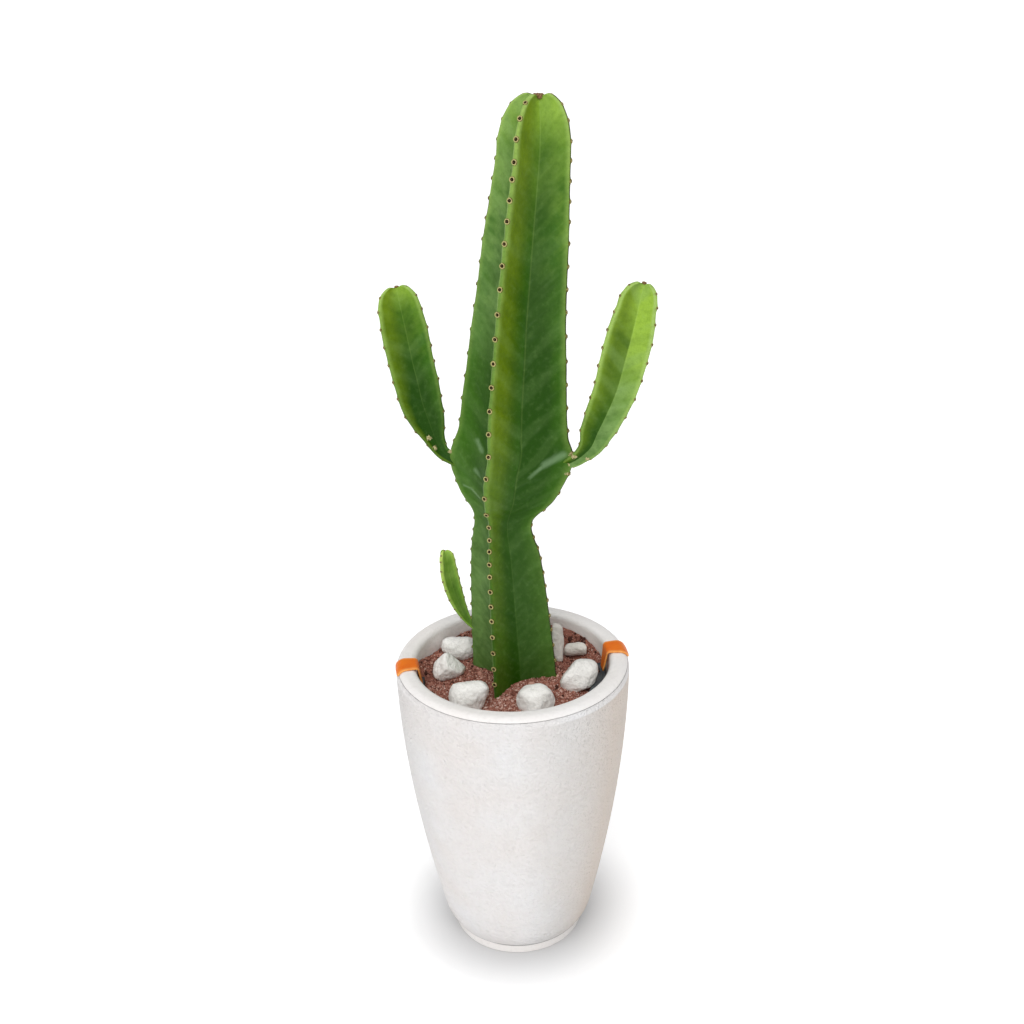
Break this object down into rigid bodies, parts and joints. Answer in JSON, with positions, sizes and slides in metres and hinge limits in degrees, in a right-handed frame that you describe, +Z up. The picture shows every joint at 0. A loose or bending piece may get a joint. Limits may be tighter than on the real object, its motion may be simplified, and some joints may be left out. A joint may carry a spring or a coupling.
{
  "type": "potted tall cactus",
  "caption": "Tall ribbed cactus with upswept arms and a basal shoot, in a tapered white planter with soil, white pebbles and orange lifting straps.",
  "frame": {"origin": "centre of the planter's flat underside, on the surface it stands on", "axes": "+Z up along the planter's axis; -Y is the front, +X to the viewer's right"},
  "size_m": [0.3207, 0.3, 1.1051],
  "materials": {
    "white_shell": "satin white with a fine orange-peel texture",
    "slate": "matt slate plastic",
    "orange": "satin orange plastic with paler edges",
    "red_soil": "loose reddish grains and crumbs",
    "green_flesh": "waxy green skin with paler rib edges",
    "young_flesh": "waxy yellow-green young skin",
    "marble": "tumbled white marble with faint grey veins"
  },
  "bodies": {
    "root": {"pot": "white_shell", "foot_disc": "white_shell", "liner": "slate", "hook_left": "orange", "hook_right": "orange", "soil": "red_soil", "stem_main": "green_flesh", "arm_left": "green_flesh", "arm_right": "green_flesh", "shoot_basal": "young_flesh", "pebble_back_left": "marble", "pebble_left": "marble", "pebble_front_left": "marble", "pebble_front": "marble", "pebble_right": "marble", "pebble_back_right": "marble", "pebble_upright": "marble"}
  },
  "joints": []
}
